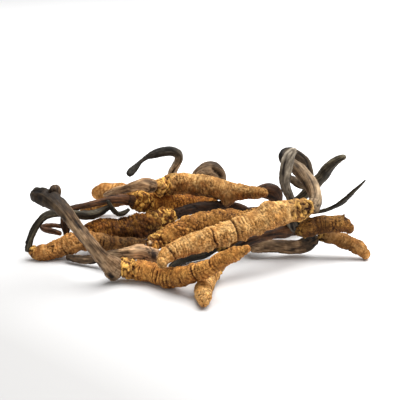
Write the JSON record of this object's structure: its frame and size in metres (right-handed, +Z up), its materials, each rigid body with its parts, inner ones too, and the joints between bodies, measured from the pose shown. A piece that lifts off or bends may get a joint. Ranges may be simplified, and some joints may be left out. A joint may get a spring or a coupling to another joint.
{
  "type": "cordyceps bundle",
  "caption": "Loose heap of dried cordyceps: ringed golden-brown larvae, each with a wrinkled grey to black fungus stalk growing from its head, lying across each other.",
  "frame": {"origin": "middle of the heap's footprint, on the surface it lies on", "axes": "+X runs along the heap's longest side to the right as seen from the front, +Y to the back, +Z up"},
  "size_m": [0.0956, 0.0756, 0.0307],
  "materials": {
    "larva_back_right": "orange-brown, matt dried skin",
    "larva_crossing": "golden, matt dried skin",
    "larva_dark": "brown, matt dried skin",
    "larva_front": "tan, matt dried skin",
    "larva_hooked": "orange-brown, matt dried skin",
    "larva_horned": "brown, matt dried skin",
    "larva_left": "orange-brown, matt dried skin",
    "larva_long": "golden, matt dried skin",
    "larva_looped": "tan, matt dried skin",
    "larva_low": "orange-brown, matt dried skin",
    "larva_middle": "tan, matt dried skin",
    "larva_right": "tan, matt dried skin",
    "larva_shaded": "brown, matt dried skin",
    "larva_top": "golden, matt dried skin",
    "larva_under": "brown, matt dried skin",
    "stalk_back_right": "dark brown, wrinkled, matt",
    "stalk_crossing": "dark brown, wrinkled, matt",
    "stalk_dark": "near black, wrinkled, matt",
    "stalk_front": "grey-brown, wrinkled, matt",
    "stalk_front_lobe": "grey-brown, wrinkled, matt",
    "stalk_hooked": "near black, wrinkled, matt",
    "stalk_horned": "near black, wrinkled, matt",
    "stalk_horned_spike": "near black, wrinkled, matt",
    "stalk_left": "near black, wrinkled, matt",
    "stalk_long": "grey-brown, wrinkled, matt",
    "stalk_looped": "grey-brown, wrinkled, matt",
    "stalk_low": "grey-brown, wrinkled, matt",
    "stalk_middle": "grey-brown, wrinkled, matt",
    "stalk_right": "grey-brown, wrinkled, matt",
    "stalk_shaded": "dark brown, wrinkled, matt",
    "stalk_shaded_curl": "near black, wrinkled, matt",
    "stalk_shaded_strand": "dark brown, wrinkled, matt",
    "stalk_top": "grey-brown, wrinkled, matt",
    "stalk_under": "near black, wrinkled, matt"
  },
  "bodies": {
    "root": {"larva_back_right": "larva_back_right", "larva_crossing": "larva_crossing", "larva_dark": "larva_dark", "larva_front": "larva_front", "larva_hooked": "larva_hooked", "larva_horned": "larva_horned", "larva_left": "larva_left", "larva_long": "larva_long", "larva_looped": "larva_looped", "larva_low": "larva_low", "larva_middle": "larva_middle", "larva_right": "larva_right", "larva_shaded": "larva_shaded", "larva_top": "larva_top", "larva_under": "larva_under", "stalk_back_right": "stalk_back_right", "stalk_crossing": "stalk_crossing", "stalk_dark": "stalk_dark", "stalk_front": "stalk_front", "stalk_front_lobe": "stalk_front_lobe", "stalk_hooked": "stalk_hooked", "stalk_horned": "stalk_horned", "stalk_horned_spike": "stalk_horned_spike", "stalk_left": "stalk_left", "stalk_long": "stalk_long", "stalk_looped": "stalk_looped", "stalk_low": "stalk_low", "stalk_middle": "stalk_middle", "stalk_right": "stalk_right", "stalk_shaded": "stalk_shaded", "stalk_shaded_curl": "stalk_shaded_curl", "stalk_shaded_strand": "stalk_shaded_strand", "stalk_top": "stalk_top", "stalk_under": "stalk_under"}
  },
  "joints": []
}
